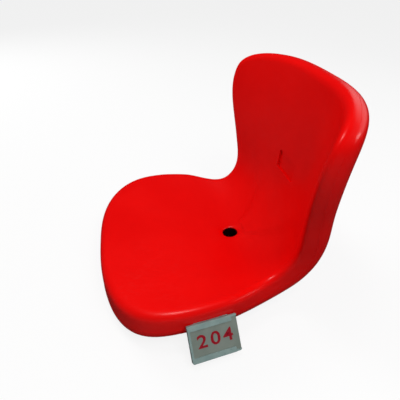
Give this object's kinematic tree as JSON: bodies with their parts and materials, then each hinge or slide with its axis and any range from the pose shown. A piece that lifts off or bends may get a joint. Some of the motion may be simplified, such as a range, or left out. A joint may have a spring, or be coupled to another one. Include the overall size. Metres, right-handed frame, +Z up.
{
  "type": "stadium seat",
  "caption": "Bucket stadium seat with a hollow moulded shell for seat and back, a drain hole, threaded inserts underneath and a row sign whose plate slides out.",
  "frame": {"origin": "centre of the four threaded inserts, in the plane of the feet's bottom faces", "axes": "+Z up, the sitter faces -Y, +X is the sitter's left"},
  "size_m": [0.4685, 0.4103, 0.3652],
  "materials": {
    "red_plastic": "smooth glossy HDPE",
    "brass": "turned",
    "grey_plastic": "fine satin ABS",
    "plate_plastic": "satin, printed",
    "zinc_steel": "zinc plated"
  },
  "bodies": {
    "seat": {"seat_shell": "red_plastic", "insert_front_left": "brass", "insert_front_right": "brass", "insert_rear_left": "brass", "insert_rear_right": "brass", "sign_holder": "grey_plastic", "sign_screw_front": "zinc_steel", "sign_screw_rear": "zinc_steel"},
    "plate": {"row_plate": "plate_plastic"}
  },
  "joints": [
    {"name": "row_plate_slide", "type": "slide", "parent": "seat", "child": "plate", "axis": [-0.157, 0.9876, 0], "range_m": [0, 0.067]}
  ]
}
